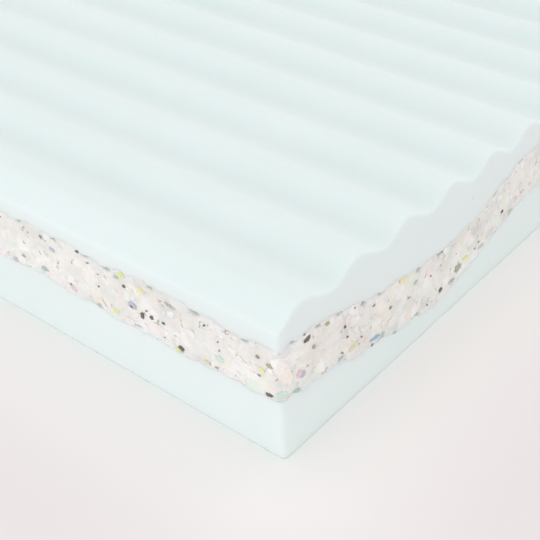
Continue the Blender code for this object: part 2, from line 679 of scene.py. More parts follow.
class Profile:
    """The heights of every face of the mattress and the run of its walls, from the shape's settings."""

    def __init__(self, shape):
        self.shape = shape
        self.head = LOW.x + shape.head_overhang
        self.foot = HIGH.x
        self.length = self.foot - self.head
        self.width = HIGH.y - LOW.y
        self.pitch = self.length / (shape.ridge_count - 1 + 2 * shape.first_crest)
        self.lean = shape.head_overhang / shape.head_edge_height
        self.strays = {
            wall: [tuple(size / 1000 for size in row[1:]) for row in SEEN_STRAYS if row[0] == wall]
            for wall in WALLS
        }

    def wander(self, x, y, along, across, start):
        """A slow ripple between -1 and 1 over the whole mattress."""
        turns = along * (x - self.head) / self.length + across * y / self.width
        return math.sin(2 * math.pi * turns + start)

    def underside(self, x, y):
        return 0.0

    def base_face(self, x, y):
        turn = 2 * math.pi * self.shape.long_waves * (x - self.head) / self.length
        return self.shape.base_height + self.shape.long_wave_swing * math.cos(turn)

    def core_face(self, x, y):
        return self.base_face(x, y) + self.shape.core_thickness

    def stray(self, wall, along, seam):
        """How far a seam leaves its wave at a place on a wall: as photographed, past that at random."""
        place = Vector((along, WALLS.index(wall), seam)) / self.shape.stray_grain
        guessed = self.shape.stray * noise.noise(place)
        rows = self.strays.get(wall)
        if not rows:
            return guessed
        after = bisect.bisect([row[0] for row in rows], along)
        if after == len(rows):
            share = min(1.0, (along - rows[-1][0]) / self.shape.stray_grain)
            return rows[-1][seam] * (1 - share) + guessed * share
        before, later = rows[max(0, after - 1)], rows[after]
        share = max(0.0, (along - before[0]) / (later[0] - before[0])) if after else 0.0
        return before[seam] * (1 - share) + later[seam] * share

    def fray(self, x, y, seam):
        """How far a glued seam lies above its wave at the walls, as crumbs press into the mint foam."""
        inward = (x - self.head, y - LOW.y, self.foot - x, HIGH.y - y)
        gaps = [max(0.0, gap) for gap in inward]
        to_wall = min(gaps)
        if to_wall >= END_STRIP:
            return 0.0
        wall = WALLS[gaps.index(to_wall)]
        along = y - LOW.y if wall in ("head", "foot") else x - self.head
        place = Vector((x, y, seam)) / self.shape.fray_grain
        pushed = noise.noise(place) + FINE_FRAY * noise.noise(place * 2)
        off_wave = self.shape.fray * pushed + self.stray(wall, along, seam)
        return off_wave * (1 - to_wall / END_STRIP)

    def lower_seam(self, x, y):
        return self.base_face(x, y) + self.fray(x, y, LOWER_SEAM)

    def upper_seam(self, x, y):
        return self.core_face(x, y) + self.fray(x, y, UPPER_SEAM)

    def core_bite_below(self, x, y):
        return self.lower_seam(x, y) - self.shape.seam_bite

    def core_bite_above(self, x, y):
        return self.upper_seam(x, y) + self.shape.seam_bite

    def ridged_face(self, x, y):
        shape = self.shape
        drift = shape.place_drift * self.wander(x, y, *PLACE_RIPPLE)
        crests_passed = (x - self.head + drift) / self.pitch - shape.first_crest
        turn = 2 * math.pi * crests_passed
        ridge = math.cos(turn + shape.ridge_skew * math.cos(turn))
        to_end = min(x - self.head, self.foot - x)
        droop = shape.end_droop * math.exp(-to_end / shape.droop_reach)
        unevenness = shape.height_drift * (self.wander(x, y, *HEIGHT_RIPPLE) - 1)
        swelling = noise.noise(Vector((x, y, 0)) / shape.swell_grain) - 1
        unevenness += shape.swell * swelling / 2
        return HIGH.z - shape.ridge_depth * (1 - ridge) / 2 - droop + unevenness

    def leaned(self, x, z):
        """X of a point once the head end leans out over its foot."""
        share = (self.foot - x) / self.length
        return x - self.lean * share * z

    def on_wall(self, wall, along, height):
        """A point of a wall, with its outward direction and its level run; it follows the corners."""
        outward, level = {
            "head": (Vector((-1, 0, 0)), Vector((0, 1, 0))),
            "foot": (Vector((1, 0, 0)), Vector((0, 1, 0))),
            "near": (Vector((0, -1, 0)), Vector((1, 0, 0))),
            "far": (Vector((0, 1, 0)), Vector((1, 0, 0))),
        }[wall]
        start = Vector((self.head, LOW.y, height))
        end = Vector((self.foot, HIGH.y, height))
        base = start if wall in ("head", "near") else end
        place = start + level * along
        for axis in (0, 1):
            if outward[axis]:
                place[axis] = base[axis]
        radius = self.shape.core_corner
        to_corner = min(along, self.run(wall) - along)
        if to_corner < radius:
            sideways = -level if along < self.run(wall) / 2 else level
            turn = HALF_CORNER * (1 - to_corner / radius)
            turned = outward * math.cos(turn) + sideways * math.sin(turn)
            centre = place + sideways * (to_corner - radius) - outward * radius
            place = centre + turned * radius
            sidelong = turned.cross(Vector((0, 0, 1)))
            level = sidelong * math.copysign(1, sidelong.dot(level))
            outward = turned
        outward.z = outward.x * self.lean * (self.foot - place.x) / self.length
        place.x = self.leaned(place.x, height)
        return place, outward.normalized(), level

    def run(self, wall):
        """Length of a wall."""
        return self.length if wall in ("near", "far") else self.width

    def core_heights(self, wall, along):
        """Lowest and highest point of the crumb layer at a place on a wall."""
        x = {"head": self.head, "foot": self.foot}.get(wall, self.head + along)
        y = {"near": LOW.y, "far": HIGH.y}.get(wall, LOW.y + along)
        return self.lower_seam(x, y), self.upper_seam(x, y)


def add_node(tree, kind, links=None, **settings):
    """A node with its settings, each input given a value or joined to another node's socket.

    Inputs go by name or number. In Map Range 0 is the value, 1 and 2 the range it comes in, 3 and 4
    the range it goes to. In Mix 0 is the factor, 2 and 3 are the numbers, 6 and 7 the colours. In
    Math 0 to 2 are the numbers in their order.
    """
    node = tree.nodes.new(kind)
    for name, value in settings.items():
        setattr(node, name, value)
    for key, value in (links or {}).items():
        if isinstance(value, bpy.types.NodeSocket):
            tree.links.new(value, node.inputs[key])
        else:
            node.inputs[key].default_value = value
    return node


def bare_material(name):
    """A new material, its node tree and its shader."""
    material = bpy.data.materials.new(name)
    material.use_nodes = True
    tree = material.node_tree
    return material, tree, tree.nodes["Principled BSDF"]


def mint_foam_material(colours):
    """Polyurethane foam cut by a band knife: matt, softly see-through at its edges, cloudy in tint.

    The eye reads it from the even fine cells, about 0.8 mm in the real foam and drawn here at 1.5 mm so
    that they show, and from a few pinholes where a bubble burst, darkened with painted shade. Both
    slabs share it.
    """
    cloud_size = 0.11
    bubble_spacing = 0.030
    whole_bubbles = 0.8
    cell_size = 0.0015
    name = "mint_polyurethane_foam"
    if name in bpy.data.materials:
        return bpy.data.materials[name]
    material, tree, shader = bare_material(name)
    place = add_node(tree, "ShaderNodeTexCoord").outputs["Object"]
    clouds = add_node(
        tree, "ShaderNodeTexNoise", {"Vector": place, "Scale": 1 / cloud_size, "Detail": 3.0}
    ).outputs[0]
    tint = add_node(
        tree,
        "ShaderNodeMix",
        {0: clouds, 6: opaque(colours.mint), 7: opaque(colours.mint_deep)},
        data_type="RGBA",
    ).outputs[2]

    bubbles = add_node(
        tree, "ShaderNodeTexVoronoi", {"Vector": place, "Scale": 1 / bubble_spacing, "Randomness": 1.0}
    )
    chosen = add_node(
        tree,
        "ShaderNodeMath",
        {0: bubbles.outputs["Color"], 1: whole_bubbles},
        operation="GREATER_THAN",
    ).outputs[0]
    hole = add_node(
        tree,
        "ShaderNodeMapRange",
        {0: bubbles.outputs["Distance"], 1: 0.026, 2: 0.046, 3: 1.0, 4: 0.0},
        interpolation_type="SMOOTHSTEP",
    ).outputs[0]
    pinhole = add_node(
        tree, "ShaderNodeMath", {0: chosen, 1: hole}, operation="MULTIPLY"
    ).outputs[0]
    # Painted shade: the pinholes are darkened towards the hollow grey.
    shade = add_node(
        tree, "ShaderNodeMath", {0: pinhole, 1: 0.35}, operation="MULTIPLY"
    ).outputs[0]
    colour = add_node(
        tree,
        "ShaderNodeMix",
        {0: shade, 6: tint, 7: opaque(colours.painted_hollow_shade)},
        data_type="RGBA",
    ).outputs[2]
    tree.links.new(colour, shader.inputs["Base Color"])

    cells = add_node(
        tree, "ShaderNodeTexVoronoi", {"Vector": place, "Scale": 1 / cell_size, "Randomness": 1.0}
    ).outputs["Distance"]
    sunk = add_node(
        tree, "ShaderNodeMath", {0: pinhole, 1: -3.0, 2: cells}, operation="MULTIPLY_ADD"
    ).outputs[0]
    bump = add_node(
        tree, "ShaderNodeBump", {"Height": sunk, "Strength": 0.25, "Distance": BUMP_HEIGHT}
    ).outputs[0]
    tree.links.new(bump, shader.inputs["Normal"])
    shader.inputs["Roughness"].default_value = 0.95
    shader.inputs["IOR"].default_value = 1.3
    shader.inputs["Specular IOR Level"].default_value = 0.2
    shader.inputs["Subsurface Weight"].default_value = 0.35
    shader.inputs["Subsurface Radius"].default_value = (0.7, 1.0, 0.9)
    shader.inputs["Subsurface Scale"].default_value = 0.009
    return material


def crumb_pattern(tree, place, mix):
    """Pressed crumbs as the saw cuts through them: big ones, and gaps that small ones fill.

    Gives each crumb's own two random numbers, and how far a place is from the nearest seam, in metres.
    It serves the material and the relief alike, so both show the same crumbs.
    """
    bend_size = 0.012
    bend = 0.009
    crushed_from = 0.52
    wobble = add_node(
        tree, "ShaderNodeTexNoise", {"Vector": place, "Scale": 1 / bend_size, "Detail": 2.0}
    ).outputs[1]
    centred = add_node(
        tree,
        "ShaderNodeVectorMath",
        {0: wobble, 1: (0.5, 0.5, 0.5)},
        operation="SUBTRACT",
    ).outputs[0]
    bent = add_node(
        tree,
        "ShaderNodeVectorMath",
        {0: centred, 1: (bend, bend, bend), 2: place},
        operation="MULTIPLY_ADD",
    ).outputs[0]
    crumbs = {}
    for size in (mix.big_crumb, mix.small_crumb):
        own = add_node(tree, "ShaderNodeTexVoronoi", {"Vector": bent, "Scale": 1 / size})
        seam = add_node(
            tree,
            "ShaderNodeTexVoronoi",
            {"Vector": bent, "Scale": 1 / size},
            feature="DISTANCE_TO_EDGE",
        )
        apart = add_node(tree, "ShaderNodeSeparateXYZ", {0: own.outputs["Color"]})
        away = add_node(
            tree, "ShaderNodeMath", {0: seam.outputs["Distance"], 1: size}, operation="MULTIPLY"
        )
        crumbs[size] = (apart.outputs, away.outputs[0])
    big, big_away = crumbs[mix.big_crumb]
    small, small_away = crumbs[mix.small_crumb]
    crushed = add_node(
        tree, "ShaderNodeMath", {0: big[2], 1: crushed_from}, operation="GREATER_THAN"
    ).outputs[0]
    chosen = [
        add_node(
            tree, "ShaderNodeMix", {0: crushed, 2: big[i], 3: small[i]}, data_type="FLOAT"
        ).outputs[0]
        for i in (0, 1)
    ]
    inner = add_node(
        tree, "ShaderNodeMix", {0: crushed, 2: 1.0, 3: small_away}, data_type="FLOAT"
    ).outputs[0]
    away = add_node(
        tree, "ShaderNodeMath", {0: big_away, 1: inner}, operation="MINIMUM"
    ).outputs[0]
    return chosen[0], chosen[1], away


def mosaic_colours(tree, place, grain, pattern):
    """The pressed crumbs' tints, blurred where they are glued and clouded by grain and batches."""
    glued_width = 0.0014
    batch_size = 0.030
    pick, tone, away = pattern
    tints = add_node(tree, "ShaderNodeValToRGB", {0: pick})
    tints.color_ramp.interpolation = "CONSTANT"
    stops = tints.color_ramp.elements
    for index, (start, hex_code) in enumerate(MOSAIC_TINTS):
        stop = stops[index] if index < 2 else stops.new(start)
        stop.position = start
        stop.color = opaque(linear(hex_code))
    glued = add_node(
        tree,
        "ShaderNodeMapRange",
        {0: away, 1: 0.0, 2: glued_width, 3: 0.55, 4: 0.0},
        interpolation_type="SMOOTHSTEP",
    ).outputs[0]
    blurred = add_node(
        tree,
        "ShaderNodeMix",
        {0: glued, 6: tints.outputs[0], 7: opaque(linear(GLUED_TINT))},
        data_type="RGBA",
    ).outputs[2]

    brightness = add_node(tree, "ShaderNodeMapRange", {0: tone, 3: 0.965, 4: 1.01}).outputs[0]
    grain_shade = add_node(
        tree, "ShaderNodeMapRange", {0: grain, 1: 0.3, 2: 0.7, 3: 0.965, 4: 1.02}
    ).outputs[0]
    batches = add_node(
        tree, "ShaderNodeTexNoise", {"Vector": place, "Scale": 1 / batch_size, "Detail": 1.0}
    ).outputs[0]
    batch_shade = add_node(
        tree, "ShaderNodeMapRange", {0: batches, 1: 0.3, 2: 0.7, 3: 0.925, 4: 1.05}
    ).outputs[0]
    pressed = add_node(
        tree, "ShaderNodeMath", {0: brightness, 1: grain_shade}, operation="MULTIPLY"
    ).outputs[0]
    shade = add_node(
        tree, "ShaderNodeMath", {0: pressed, 1: batch_shade}, operation="MULTIPLY"
    ).outputs[0]
    return add_node(
        tree, "ShaderNodeVectorMath", {0: blurred, "Scale": shade}, operation="SCALE"
    ).outputs[0]


def minted_rim(tree, place, crumbs, mint):
    """The crumbs' colours with a breath of mint, in patches, where they lie along the mint slabs."""
    patch_size = 0.007
    rim_width = 0.0045
    rim = add_node(tree, "ShaderNodeAttribute", attribute_name="rim").outputs["Fac"]
    patches = add_node(
        tree, "ShaderNodeTexNoise", {"Vector": place, "Scale": 1 / patch_size, "Detail": 1.0}
    ).outputs[0]
    soaked = add_node(
        tree, "ShaderNodeMapRange", {0: patches, 1: 0.4, 2: 0.65, 3: 0.15, 4: 0.8}
    ).outputs[0]
    near_seam = add_node(
        tree,
        "ShaderNodeMapRange",
        {0: rim, 1: 0.0, 2: rim_width, 3: 1.0, 4: 0.0},
        interpolation_type="SMOOTHSTEP",
    ).outputs[0]
    mint_share = add_node(
        tree, "ShaderNodeMath", {0: near_seam, 1: soaked}, operation="MULTIPLY"
    ).outputs[0]
    return add_node(
        tree, "ShaderNodeMix", {0: mint_share, 6: crumbs, 7: opaque(mint)}, data_type="RGBA"
    ).outputs[2]


def cracked_and_sunk(tree, place, away, whole, colours):
    """A colour with hair cracks painted as thin dark shade where seams between crumbs are open, and
    grey-green painted shade in the hollows.
    """
    opening_size = 0.009
    crack_edge = 0.0001
    crack_width = 0.0007
    sunk = add_node(tree, "ShaderNodeAttribute", attribute_name="sunk").outputs["Fac"]
    openings = add_node(
        tree, "ShaderNodeTexNoise", {"Vector": place, "Scale": 1 / opening_size, "Detail": 1.0}
    ).outputs[0]
    is_open = add_node(
        tree,
        "ShaderNodeMapRange",
        {0: openings, 1: 0.62, 2: 0.69},
        interpolation_type="SMOOTHSTEP",
    ).outputs[0]
    thin = add_node(
        tree,
        "ShaderNodeMapRange",
        {0: away, 1: crack_edge, 2: crack_width, 3: 0.9, 4: 0.0},
        interpolation_type="SMOOTHSTEP",
    ).outputs[0]
    # Painted shade: a thin dark line along the open seams between crumbs.
    painted_crack_shade = add_node(tree, "ShaderNodeMath", {0: is_open, 1: thin}, operation="MULTIPLY").outputs[0]
    cracked = add_node(
        tree, "ShaderNodeMix", {0: painted_crack_shade, 6: whole, 7: opaque(colours.painted_crack_shade)}, data_type="RGBA"
    ).outputs[2]
    # Painted shade: the sunk hollows are darkened towards the grey-green hollow shade.
    deep = add_node(
        tree, "ShaderNodeMapRange", {0: sunk, 1: 0.1, 2: 0.8, 3: 0.0, 4: 0.9}
    ).outputs[0]
    return add_node(
        tree, "ShaderNodeMix", {0: deep, 6: cracked, 7: opaque(colours.painted_hollow_shade)}, data_type="RGBA"
    ).outputs[2]


def crumb_foam_material(colours, mix):
    """Bonded foam crumb: shredded offcuts of many foams, glued under pressure and sawn.

    It gives the eye a mosaic of near-white crumbs in slightly unlike tints that blur where they are
    glued, hair cracks where the glue let go, painted as thin dark shade, greyish hollows darkened with
    painted shade, and a breath of mint along the slabs.
    """
    grain_size = 0.0035
    pillow_width = 0.0012
    material, tree, shader = bare_material("bonded_foam_crumb")
    place = add_node(tree, "ShaderNodeTexCoord").outputs["Object"]
    pattern = crumb_pattern(tree, place, mix)
    away = pattern[2]
    grain = add_node(
        tree, "ShaderNodeTexNoise", {"Vector": place, "Scale": 1 / grain_size, "Detail": 2.0}
    ).outputs[0]
    crumbs = mosaic_colours(tree, place, grain, pattern)
    minted = minted_rim(tree, place, crumbs, colours.mint_deep)
    colour = cracked_and_sunk(tree, place, away, minted, colours)
    tree.links.new(colour, shader.inputs["Base Color"])

    pillow = add_node(
        tree,
        "ShaderNodeMapRange",
        {0: away, 1: 0.0, 2: pillow_width, 3: 0.0, 4: 1.0},
        interpolation_type="SMOOTHSTEP",
    ).outputs[0]
    grained = add_node(
        tree, "ShaderNodeMath", {0: grain, 1: 0.8, 2: pillow}, operation="MULTIPLY_ADD"
    ).outputs[0]
    bump = add_node(
        tree, "ShaderNodeBump", {"Height": grained, "Strength": 0.3, "Distance": BUMP_HEIGHT}
    ).outputs[0]
    tree.links.new(bump, shader.inputs["Normal"])
    shader.inputs["Roughness"].default_value = 0.95
    shader.inputs["Specular IOR Level"].default_value = 0.2
    shader.inputs["Subsurface Weight"].default_value = 0.3
    shader.inputs["Subsurface Radius"].default_value = (1.0, 0.9, 0.8)
    shader.inputs["Subsurface Scale"].default_value = 0.004
    return material


def offcut_material():
    """One foam offcut's own colour, carried by each chip, with the grain of its open cells."""
    grain_size = 0.002
    material, tree, shader = bare_material("loose_foam_offcut")
    place = add_node(tree, "ShaderNodeTexCoord").outputs["Object"]
    own = add_node(tree, "ShaderNodeAttribute", attribute_name="offcut").outputs["Color"]
    grain = add_node(
        tree, "ShaderNodeTexNoise", {"Vector": place, "Scale": 1 / grain_size, "Detail": 2.0}
    ).outputs[0]
    shade = add_node(
        tree, "ShaderNodeMapRange", {0: grain, 1: 0.3, 2: 0.7, 3: 0.92, 4: 1.06}
    ).outputs[0]
    colour = add_node(
        tree, "ShaderNodeVectorMath", {0: own, "Scale": shade}, operation="SCALE"
    ).outputs[0]
    tree.links.new(colour, shader.inputs["Base Color"])
    bump = add_node(
        tree, "ShaderNodeBump", {"Height": grain, "Strength": 0.3, "Distance": BUMP_HEIGHT}
    ).outputs[0]
    tree.links.new(bump, shader.inputs["Normal"])
    shader.inputs["Roughness"].default_value = 0.95
    shader.inputs["Specular IOR Level"].default_value = 0.2
    return material


def floor_material(colours, middle, half):
    """Matt painted studio floor: even, with the faintest cloudiness.

    Close to the mattress it carries a painted mint glow for the light that has passed through the foam,
    and a painted pool of light makes it a little paler where the soft light pools round it, darker and
    pinker further off.
    """
    cloud_size = 0.6
    pool_inside = 0.03
    pool_outside = 0.17
    glow_width = 0.015
    material, tree, shader = bare_material("matt_studio_paint")
    place = add_node(tree, "ShaderNodeTexCoord").outputs["Object"]
    clouds = add_node(
        tree, "ShaderNodeTexNoise", {"Vector": place, "Scale": 1 / cloud_size, "Detail": 2.0}
    ).outputs[0]
    shade = add_node(tree, "ShaderNodeMapRange", {0: clouds, 3: 0.985, 4: 1.005}).outputs[0]
    centred = add_node(
        tree, "ShaderNodeVectorMath", {0: place, 1: middle}, operation="SUBTRACT"
    ).outputs[0]
    folded = add_node(
        tree, "ShaderNodeVectorMath", {0: centred}, operation="ABSOLUTE"
    ).outputs[0]
    beyond = add_node(
        tree, "ShaderNodeVectorMath", {0: folded, 1: half}, operation="SUBTRACT"
    ).outputs[0]
    outside = add_node(
        tree, "ShaderNodeVectorMath", {0: beyond, 1: (0, 0, 0)}, operation="MAXIMUM"
    ).outputs[0]
    gap = add_node(
        tree, "ShaderNodeVectorMath", {0: outside}, operation="LENGTH"
    ).outputs["Value"]
    away = add_node(
        tree,
        "ShaderNodeMapRange",
        {0: gap, 1: pool_inside, 2: pool_outside},
        interpolation_type="SMOOTHSTEP",
    ).outputs[0]
    # Painted pool of light: paler paint round the mattress, darker and pinker further off.
    painted_light_pool = add_node(
        tree,
        "ShaderNodeMix",
        {0: away, 6: opaque(colours.floor), 7: opaque(colours.floor_painted_dim)},
        data_type="RGBA",
    ).outputs[2]
    paint = add_node(
        tree, "ShaderNodeVectorMath", {0: painted_light_pool, "Scale": shade}, operation="SCALE"
    ).outputs[0]
    # Painted light: the mint glow close round the mattress.
    painted_mint_glow = add_node(
        tree,
        "ShaderNodeMapRange",
        {0: gap, 1: 0.0, 2: glow_width, 3: 0.8, 4: 0.0},
        interpolation_type="SMOOTHSTEP",
    ).outputs[0]
    colour = add_node(
        tree, "ShaderNodeMix", {0: painted_mint_glow, 6: paint, 7: opaque(colours.painted_mint_glow)}, data_type="RGBA"
    ).outputs[2]
    tree.links.new(colour, shader.inputs["Base Color"])
    shader.inputs["Roughness"].default_value = 0.9
    shader.inputs["Specular IOR Level"].default_value = 0.1
    return material


def ease_edges(mesh, edges, width, steps):
    """Rounds some edges of a mesh."""
    bmesh.ops.bevel(
        mesh,
        geom=edges,
        affect="EDGES",
        offset=width,
        segments=steps,
        profile=0.5,
        material=-1,
    )


def slice_across(mesh, places, axis, wanted=None):
    """Cuts a mesh by planes across an axis, in rising order; only wanted faces, if a test is given."""
    direction = Vector((axis == "X", axis == "Y", axis == "Z"))
    ahead = [face for face in mesh.faces if wanted is None or wanted(face)]
    for place in places:
        cut = bmesh.ops.bisect_plane(
            mesh,
            geom=[
                *{vertex for face in ahead for vertex in face.verts},
                *{edge for face in ahead for edge in face.edges},
                *ahead,
            ],
            dist=CUT_TOLERANCE,
            plane_co=direction * place,
            plane_no=direction,
        )
        faces = [item for item in cut["geom"] if isinstance(item, bmesh.types.BMFace)]
        ahead = [face for face in faces if face.calc_center_bounds().dot(direction) > place]


def steps_between(start, end, step, edge_steps=()):
    """Even places between two ends, with a few close to each end."""
    count = max(1, round((end - start) / step))
    even = [start + (end - start) * i / count for i in range(1, count)]
    inner = [place for place in even if start + step / 2 < place < end - step / 2]
    return sorted([*inner, *(start + e for e in edge_steps), *(end - e for e in edge_steps)])


def footprint_box(profile, thickness, corner, rim):
    """A box over the footprint with rounded upright corners, and an upper rim eased by rim."""
    mesh = bmesh.new()
    bmesh.ops.create_cube(mesh, size=1.0)
    bmesh.ops.scale(mesh, verts=mesh.verts[:], vec=(profile.length, profile.width, thickness))
    middle = (profile.head + profile.foot) / 2
    bmesh.ops.translate(mesh, verts=mesh.verts[:], vec=(middle, 0, thickness / 2))
    uprights = [e for e in mesh.edges if e.verts[0].co.xy == e.verts[1].co.xy]
    ease_edges(mesh, uprights, corner, CORNER_STEPS)
    if rim:
        rims = [e for e in mesh.edges if any(f.normal.z > LOOKS_UP for f in e.link_faces)]
        ease_edges(mesh, rims, rim, RIM_STEPS)
    return mesh


def settle_heights(mesh, profile, thickness, edge, lower, upper):
    """Moves a box's points between two faces, its rims kept as they are, and leans the head end."""
    for vertex in mesh.verts:
        x, y, z = vertex.co
        low, high = lower(x, y), upper(x, y)
        if z <= edge:
            z = low + z
        elif z >= thickness - edge:
            z = high - (thickness - z)
        else:
            share = (z - edge) / (thickness - 2 * edge)
            z = low + edge + (high - low - 2 * edge) * share
        vertex.co = (profile.leaned(x, z), y, z)


def finished_piece(context, name, mesh, material, replaced=None):
    """An object at the origin from a mesh, riding on the mattress's one body."""
    bmesh.ops.recalc_face_normals(mesh, faces=mesh.faces[:])
    data = bpy.data.meshes.new(name)
    mesh.to_mesh(data)
    mesh.free()
    data.shade_smooth()
    data.set_sharp_from_angle(angle=CRISP_EDGE)
    data.materials.append(material)
    piece = bpy.data.objects.new(name, data)
    context.collection.objects.link(piece)
    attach(piece, "root")
    if replaced:
        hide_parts(replaced)
    return piece


def wall_cuts(start, end, shown):
    """Places to cut a long wall between its corners: close together in the shown stretch."""
    first, change, last = start + END_STRIP, start + max(shown, END_STRIP), end - END_STRIP
    close = steps_between(first, change, FINE_GRAIN) if change > first else []
    return [first, *close, change, *steps_between(change, last, PLAIN_GRAIN), last]


def cut_walls(mesh, profile):
    """Cuts a slab into columns along its length, and across in narrow strips at its two ends.

    Every slab is cut in the same places, so the frayed seams of two neighbours match point by point.
    """

    def at_end(face):
        place = face.calc_center_bounds().x
        return min(place - profile.head, profile.foot - place) < END_STRIP

    slice_across(mesh, wall_cuts(profile.head, profile.foot, SHOWN["near"]), "X")
    slice_across(mesh, wall_cuts(LOW.y, HIGH.y, SHOWN["head"]), "Y", at_end)


def mint_slab(profile, thickness, lower, upper, rim, row=None):
    """A mint slab set between two faces, with an eased upper rim if it is given one.

    Rows, if given, cut its upper face across, so that a ridged face can stray along its ridges.
    """
    mesh = footprint_box(profile, thickness, profile.shape.mint_corner, rim)
    if row:
        rows = steps_between(LOW.y, HIGH.y, row)
        slice_across(mesh, rows, "Y", lambda face: face.normal.z > LOOKS_UP_A_LITTLE)
    cut_walls(mesh, profile)
    levels = steps_between(0, thickness, thickness / MINT_ROWS, (rim + RIM_ROW,))
    slice_across(mesh, levels, "Z")
    settle_heights(mesh, profile, thickness, rim, lower, upper)
    return mesh


def knife_wander(mesh, profile):
    """The slight waviness that a band knife leaves in a wall."""
    for vertex in mesh.verts:
        x, y, z = vertex.co
        place = Vector((x * KNIFE_RIPPLES, y * KNIFE_RIPPLES, z * KNIFE_RIPPLES_UP))
        drift = noise.noise(place)
        if abs(y) > profile.width / 2 - KNIFE_REACH:
            vertex.co.y += math.copysign(KNIFE_SWING, y) * drift
        elif x > profile.foot - KNIFE_REACH or x < profile.head + KNIFE_REACH_HEAD:
            vertex.co.x += math.copysign(KNIFE_SWING, x) * drift


def crumb_relief(mix):
    """A node group that lifts and sinks a wall's points with the crumbs, flush along the seams."""
    pillow_width = 0.0020
    groove_depth = 0.0005
    groove_rise = 0.0002
    swell_size = 0.016
    flush_width = 0.0015
    set_back = 0.00003
    group = bpy.data.node_groups.new("crumb_relief", "GeometryNodeTree")
    group.interface.new_socket("Geometry", in_out="INPUT", socket_type="NodeSocketGeometry")
    group.interface.new_socket("Geometry", in_out="OUTPUT", socket_type="NodeSocketGeometry")
    entry = add_node(group, "NodeGroupInput")
    leave = add_node(group, "NodeGroupOutput")
    place = add_node(group, "GeometryNodeInputPosition").outputs[0]
    normal = add_node(group, "GeometryNodeInputNormal").outputs[0]
    level = add_node(
        group, "ShaderNodeVectorMath", {0: normal, 1: (1, 1, 0)}, operation="MULTIPLY"
    ).outputs[0]
    outward = add_node(group, "ShaderNodeVectorMath", {0: level}, operation="NORMALIZE").outputs[0]
    rim = add_node(
        group, "GeometryNodeInputNamedAttribute", {"Name": "rim"}, data_type="FLOAT"
    ).outputs[0]
    sunk = add_node(
        group, "GeometryNodeInputNamedAttribute", {"Name": "sunk"}, data_type="FLOAT"
    ).outputs[0]

    pick, tone, away = crumb_pattern(group, place, mix)
    lift = add_node(
        group, "ShaderNodeMapRange", {0: tone, 3: -mix.proud, 4: mix.proud}
    ).outputs[0]
    inside = add_node(
        group,
        "ShaderNodeMapRange",
        {0: away, 1: 0.0, 2: pillow_width},
        interpolation_type="SMOOTHSTEP",
    ).outputs[0]
    pillow = add_node(
        group, "ShaderNodeMath", {0: lift, 1: inside}, operation="MULTIPLY"
    ).outputs[0]
    groove = add_node(
        group, "ShaderNodeMapRange", {0: inside, 3: -groove_depth, 4: groove_rise}
    ).outputs[0]
    swells = add_node(
        group, "ShaderNodeTexNoise", {"Vector": place, "Scale": 1 / swell_size, "Detail": 1.0}
    ).outputs[0]
    press = add_node(
        group, "ShaderNodeMapRange", {0: swells, 1: 0.3, 2: 0.7, 3: -mix.press, 4: mix.press}
    ).outputs[0]
    rough = add_node(group, "ShaderNodeMath", {0: pillow, 1: groove}, operation="ADD").outputs[0]
    crumbly = add_node(group, "ShaderNodeMath", {0: rough, 1: press}, operation="ADD").outputs[0]
    held = add_node(
        group, "ShaderNodeMapRange", {0: rim, 1: 0.0, 2: flush_width, 3: 0.0, 4: 1.0}
    ).outputs[0]
    flush = add_node(
        group, "ShaderNodeMath", {0: crumbly, 1: held, 2: -set_back}, operation="MULTIPLY_ADD"
    ).outputs[0]
    height = add_node(
        group, "ShaderNodeMath", {0: sunk, 1: -mix.hollow, 2: flush}, operation="MULTIPLY_ADD"
    ).outputs[0]
    offset = add_node(
        group, "ShaderNodeVectorMath", {0: outward, "Scale": height}, operation="SCALE"
    ).outputs[0]
    moved = add_node(
        group, "GeometryNodeSetPosition", {"Geometry": entry.outputs[0], "Offset": offset}
    )
    group.links.new(moved.outputs[0], leave.inputs[0])
    return group


def all_hollows(profile, mix):
    """The hollows that the photograph shows, and like ones along the rest of the walls, in metres."""
    rng = random.Random(SEED)
    hollows = []
    for wall, along, height, length, width in SEEN_HOLLOWS:
        leant = profile.lean * height if wall == "near" else 0
        sizes = (along + leant, height, length, width)
        hollows.append((wall, *(size / 1000 for size in sizes)))
    for wall in WALLS:
        run = profile.run(wall)
        for _ in range(round(run * mix.hollows_per_metre)):
            along = rng.uniform(HOLLOW_CORNER_GAP, run - HOLLOW_CORNER_GAP)
            low, high = profile.core_heights(wall, along)
            inward = rng.uniform(0.0, HOLLOW_INSET)
            height = rng.choice((low + inward, high - inward))
            length = rng.uniform(*HOLLOW_LENGTHS)
            width = rng.uniform(*HOLLOW_HEIGHTS)
            if along > SHOWN[wall] - HOLLOW_OVERLAP:
                hollows.append((wall, along, height, length, width))
    return hollows


def sink_hollows(mesh, profile, hollows):
    """Marks how deep each point of the core's walls lies in a hollow, from 0 to 1."""
    sunk = mesh.verts.layers.float.new("sunk")
    mesh.verts.ensure_lookup_table()
    tree = KDTree(len(mesh.verts))
    for vertex in mesh.verts:
        tree.insert(vertex.co, vertex.index)
    tree.balance()
    for wall, along, height, length, width in hollows:
        place, outward, level = profile.on_wall(wall, along, height)
        for point, index, gap in tree.find_range(place, length / 2):
            offset = point - place
            reach = math.hypot(2 * offset.dot(level) / length, 2 * offset.z / width)
            depth = max(0.0, 1 - reach * reach)
            vertex = mesh.verts[index]
            vertex[sunk] = max(vertex[sunk], depth)


